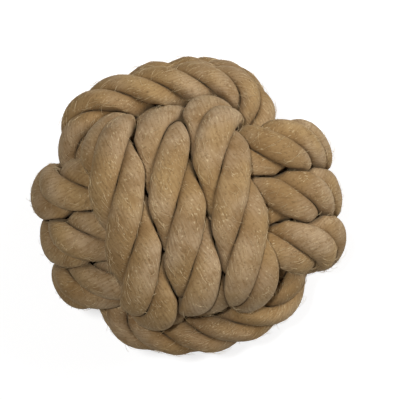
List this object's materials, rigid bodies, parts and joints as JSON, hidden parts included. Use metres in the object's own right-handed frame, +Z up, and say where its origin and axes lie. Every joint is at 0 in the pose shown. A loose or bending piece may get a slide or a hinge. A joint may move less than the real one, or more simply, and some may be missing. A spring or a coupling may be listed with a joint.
{
  "type": "rope dog toy",
  "caption": "Ball-shaped dog toy tied from thick twisted tan cotton rope in a monkey's fist knot round a hidden rubber core, for chewing, fetching and tugging.",
  "frame": {"origin": "in the plane that the ball rests on, under the middle of its bounding box", "axes": "+Z up, away from the resting plane and towards the camera of the picture; +Y along the front passes, to the top of the picture; +X to its right"},
  "size_m": [0.1276, 0.123, 0.1187],
  "materials": {
    "rope_cotton": "soft spun cotton, tan, fibrous and matt",
    "core_rubber": "moulded, matt",
    "binding_twine": "waxed twine, pale"
  },
  "bodies": {
    "root": {"strand_1": "rope_cotton", "strand_2": "rope_cotton", "strand_3": "rope_cotton", "core_ball": "core_rubber", "start_whipping": "binding_twine", "end_whipping": "binding_twine"}
  },
  "joints": []
}
